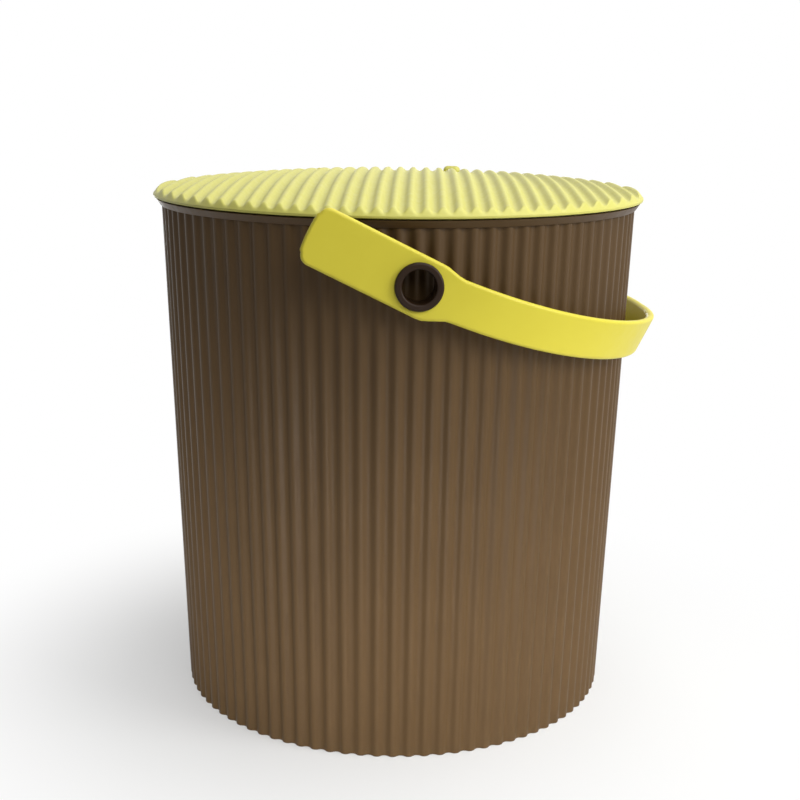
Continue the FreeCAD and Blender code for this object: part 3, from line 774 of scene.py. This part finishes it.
class BUCKET_OT_finger_tab(bpy.types.Operator):
    """Model the small raised tab on the lid's edge"""
    bl_idname = "bucket.finger_tab"
    bl_label = "Finger tab"

    def execute(self, context):
        sizes = context.scene.bucket_lid
        height = sizes.plate + sizes.rib_depth + sizes.tab_rise
        middle = LID_RADIUS - sizes.tab_inset - sizes.tab_depth / 2
        bm = bmesh.new()
        bmesh.ops.create_cube(bm, size=1.0)
        bmesh.ops.scale(bm, verts=bm.verts, vec=(sizes.tab_width, sizes.tab_depth, height))
        bmesh.ops.bevel(
            bm, geom=bm.edges[:], offset=sizes.tab_round, offset_type="OFFSET", segments=6, profile=0.5,
            affect="EDGES", clamp_overlap=False, material=-1)
        bmesh.ops.translate(bm, verts=bm.verts, vec=(0, middle, height / 2))
        set_lid(bm, sizes, sizes.turn + sizes.tab_turn)
        make_piece("finger_tab", bm, material_of("lid_plastic"), "lid_body")
        return {"FINISHED"}


# Stage

# The floor fades from this share of the shadow's radius, and shows at least this share of white
FADE_START = 0.35
LEAST_WHITE = 0.45
SENSOR_MM = 36.0


def background_rays(tree):
    """1 for a ray that shows the background, straight, in a reflection or through something clear."""
    rays = add_node(tree, "ShaderNodeLightPath")
    mirrored = add_node(tree, "ShaderNodeMath", {
        0: rays.outputs["Is Camera Ray"], 1: rays.outputs["Is Glossy Ray"]}, operation="MAXIMUM")
    shown = add_node(tree, "ShaderNodeMath", {
        0: mirrored.outputs["Value"], 1: rays.outputs["Is Transmission Ray"]}, operation="MAXIMUM")
    return shown.outputs["Value"]


def floor_material(shade, shadow_radius):
    """Matt white sweep: keeps a soft shadow near the object and fades to plain white past it."""
    material = bpy.data.materials.new("matt_white_sweep")
    material.use_nodes = True
    tree = material.node_tree
    shader = tree.nodes["Principled BSDF"]
    shader.inputs["Base Color"].default_value = (*shade, 1.0)
    shader.inputs["Roughness"].default_value = 0.9
    shader.inputs["Specular IOR Level"].default_value = 0.1
    place = add_node(tree, "ShaderNodeTexCoord").outputs["Object"]
    distance = add_node(tree, "ShaderNodeVectorMath", {0: place}, operation="LENGTH")
    fade = add_node(tree, "ShaderNodeMapRange", {
        "Value": distance.outputs["Value"], "From Min": FADE_START * shadow_radius, "From Max": shadow_radius,
        "To Min": LEAST_WHITE}, interpolation_type="SMOOTHSTEP")
    seen = add_node(tree, "ShaderNodeMath", {
        0: background_rays(tree), 1: fade.outputs["Result"]}, operation="MULTIPLY")
    white = add_node(tree, "ShaderNodeEmission", {"Color": (1.0, 1.0, 1.0, 1.0), "Strength": 1.0})
    mixed = add_node(tree, "ShaderNodeMixShader", {
        0: seen.outputs["Value"], 1: shader.outputs["BSDF"], 2: white.outputs["Emission"]})
    tree.links.new(mixed.outputs["Shader"], tree.nodes["Material Output"].inputs["Surface"])
    return material


def add_floor(stage, finishes):
    """Round pale floor under the object."""
    bm = bmesh.new()
    bmesh.ops.create_circle(bm, segments=96, radius=stage.floor_radius, cap_ends=True)
    mesh = bpy.data.meshes.new("studio_floor")
    bm.to_mesh(mesh)
    bm.free()
    mesh.materials.append(floor_material(finishes.floor, stage.shadow_radius))
    floor = bpy.data.objects.new("studio_floor", mesh)
    bpy.context.scene.collection.objects.link(floor)


def add_softbox(name, place, aim, width, height, power, spread=math.pi):
    """Rectangular soft light that faces a point; a smaller spread is a grid in front of it."""
    lamp = bpy.data.lights.new(name, "AREA")
    lamp.shape = "RECTANGLE"
    lamp.size = width
    lamp.size_y = height
    lamp.energy = power
    lamp.spread = spread
    light = bpy.data.objects.new(name, lamp)
    light.location = place
    light.visible_camera = False
    light.rotation_euler = (Vector(aim) - Vector(place)).to_track_quat("-Z", "Y").to_euler()
    bpy.context.scene.collection.objects.link(light)


def add_world(ambient):
    """White for the camera and in reflections, and a dimmer even light on the object."""
    world = bpy.data.worlds.new("white_studio")
    bpy.context.scene.world = world
    world.use_nodes = True
    tree = world.node_tree
    strength = add_node(tree, "ShaderNodeMapRange", {
        "Value": background_rays(tree), "To Min": ambient, "To Max": 1.0})
    background = tree.nodes["Background"]
    background.inputs["Color"].default_value = (1.0, 1.0, 1.0, 1.0)
    tree.links.new(strength.outputs["Result"], background.inputs["Strength"])


def add_camera(stage):
    """Camera at the photograph's angle."""
    lens = bpy.data.cameras.new("photo_camera")
    lens.lens = stage.lens
    lens.sensor_width = SENSOR_MM
    camera = bpy.data.objects.new("photo_camera", lens)
    turn = Matrix.Rotation(-stage.heading, 4, "Z")
    tilt = Matrix.Rotation(math.radians(90) - stage.pitch, 4, "X")
    roll = Matrix.Rotation(stage.roll, 4, "Z")
    camera.matrix_world = Matrix.Translation(stage.camera_place) @ turn @ tilt @ roll
    bpy.context.scene.collection.objects.link(camera)
    bpy.context.scene.camera = camera


class BUCKET_OT_stage(bpy.types.Operator):
    """Set up the floor, the soft lights, the white surroundings and the camera"""
    bl_idname = "bucket.stage"
    bl_label = "Stage"

    def execute(self, context):
        scene = context.scene
        scene.view_settings.view_transform = "Standard"
        add_floor(scene.bucket_stage, scene.bucket_finishes)
        # Places in metres and powers in watts
        middle = (0.0, 0.0, 0.17)
        foot = (0.1, 0.0, 0.05)
        add_softbox("top_softbox", place=(0.4, 0.0, 1.35), aim=middle, width=1.0, height=1.0, power=9.8)
        add_softbox("key_softbox", place=(1.15, -0.7, 0.75), aim=middle, width=0.7, height=0.9, power=13.0)
        add_softbox("front_softbox", place=(0.3, -1.05, 1.0), aim=middle, width=0.8, height=0.6, power=4.5)
        add_softbox("rear_softbox", place=(-0.1, 1.3, 0.2), aim=middle, width=1.0, height=0.25, power=7.0)
        add_softbox(
            "foot_softbox", place=(0.1, -0.95, 0.05), aim=foot, width=1.1, height=0.08, power=0.75,
            spread=math.radians(33))
        add_world(ambient=0.08)
        add_camera(scene.bucket_stage)
        return {"FINISHED"}


class BUCKET_PT_sidebar(bpy.types.Panel):
    """Lists the bucket's pieces and settings"""
    bl_idname = "BUCKET_PT_sidebar"
    bl_label = "Fluted Bucket"
    bl_space_type = "VIEW_3D"
    bl_region_type = "UI"
    bl_category = "Bucket"

    def draw(self, context):
        for operator in OPERATORS:
            self.layout.operator(operator.bl_idname)
        for key, group in SETTINGS.items():
            box = self.layout.box()
            box.label(text=group.__name__)
            for prop in group.__annotations__:
                box.prop(getattr(context.scene, key), prop)


SETTINGS = {
    "bucket_tub": TubSizes,
    "bucket_pivots": PivotSizes,
    "bucket_handle": HandleSizes,
    "bucket_lid": LidSizes,
    "bucket_finishes": Finishes,
    "bucket_stage": StageSizes,
}
OPERATORS = (
    BUCKET_OT_tub,
    BUCKET_OT_bosses,
    BUCKET_OT_eyelets,
    BUCKET_OT_handle,
    BUCKET_OT_lid,
    BUCKET_OT_finger_tab,
    BUCKET_OT_stage,
)


def register():
    for key, group in SETTINGS.items():
        bpy.utils.register_class(group)
        setattr(bpy.types.Scene, key, PointerProperty(type=group))
    for operator in OPERATORS:
        bpy.utils.register_class(operator)
    bpy.utils.register_class(BUCKET_PT_sidebar)


def unregister():
    bpy.utils.unregister_class(BUCKET_PT_sidebar)
    for operator in reversed(OPERATORS):
        bpy.utils.unregister_class(operator)
    for key, group in SETTINGS.items():
        delattr(bpy.types.Scene, key)
        bpy.utils.unregister_class(group)


def main():
    register()
    bpy.ops.bucket.tub()
    bpy.ops.bucket.bosses()
    bpy.ops.bucket.eyelets()
    bpy.ops.bucket.handle()
    bpy.ops.bucket.lid()
    bpy.ops.bucket.finger_tab()
    bpy.ops.bucket.stage()


if __name__ == "__main__":
    main()
